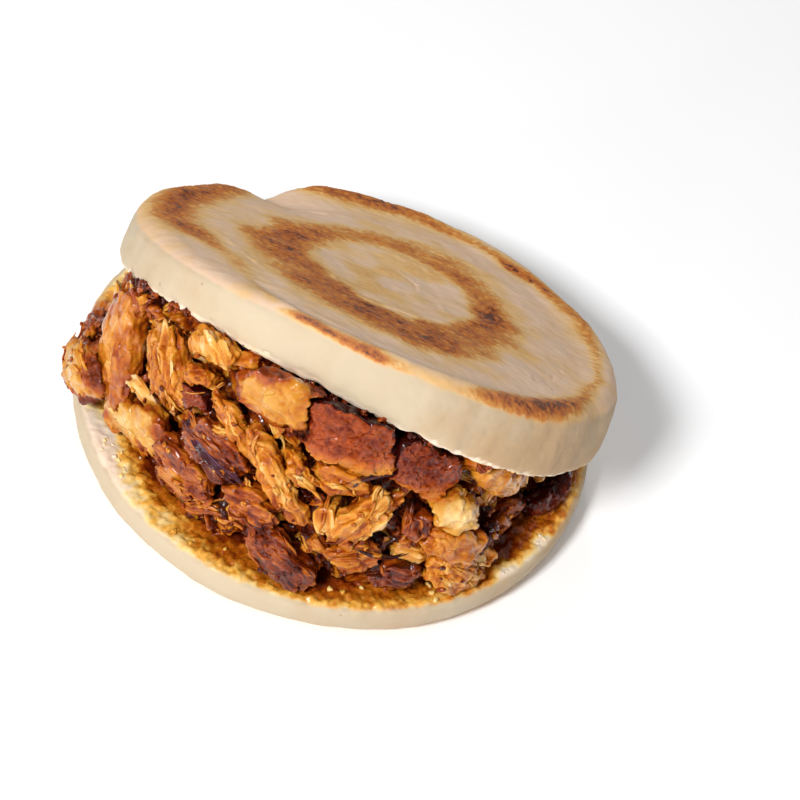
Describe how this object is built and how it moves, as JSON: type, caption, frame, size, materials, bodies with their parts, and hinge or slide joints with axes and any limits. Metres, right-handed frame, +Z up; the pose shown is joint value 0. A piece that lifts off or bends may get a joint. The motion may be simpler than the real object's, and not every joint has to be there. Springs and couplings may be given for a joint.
{
  "type": "chopped pork burger",
  "caption": "Flat griddled bun cut in two and opened like a clam, filled to its lips with a heap of chopped braised pork, rind, fat and shreds in gravy.",
  "frame": {"origin": "on the table under the middle of the burger's bounding box, at the foot of the lower half of the bun", "axes": "+Z up; -Y towards the open side where the filling shows; +X to the right seen from there"},
  "size_m": [0.11, 0.1098, 0.0703],
  "materials": {
    "bun": "floury griddled bread, pale with toasted rings",
    "heap": "moist chopped pork in gravy",
    "lean_pale": "moist pale lean pork, fibrous",
    "lean_gold": "golden shredded pork, moist, fibrous",
    "lean_dark": "dark red-brown braised pork, moist",
    "fat": "translucent braised fat, glossy",
    "rind": "wrinkled braised rind, glossy"
  },
  "bodies": {
    "root": {"bun_bottom": "bun", "bun_top": "bun", "pork_brown_right": "lean_dark", "pork_chunk_cross": "lean_pale", "pork_chunk_low": "lean_gold", "pork_cube_small": "lean_pale", "pork_dark_foot": "lean_dark", "pork_fat_slab": "fat", "pork_flap_left": "lean_pale", "pork_gold_lower": "lean_gold", "pork_gold_upper": "lean_gold", "pork_heap": "heap", "pork_knob_left": "lean_dark", "pork_lump_left": "lean_pale", "pork_pale_right": "lean_pale", "pork_piece_right": "rind", "pork_red_foot": "lean_dark", "pork_red_knob": "lean_dark", "pork_rind_dark": "rind", "pork_rind_front": "rind", "pork_rind_right": "rind", "pork_shred_long": "lean_gold", "pork_shred_short": "lean_gold", "pork_shred_upper": "lean_gold", "pork_slab_dark": "lean_dark", "pork_slab_low": "lean_dark", "pork_striated": "lean_gold", "pork_striated_low": "lean_gold", "pork_strip_left": "lean_pale", "pork_tan_block": "lean_pale", "pork_tan_under": "lean_pale", "pork_torn_left": "lean_gold"}
  },
  "joints": []
}
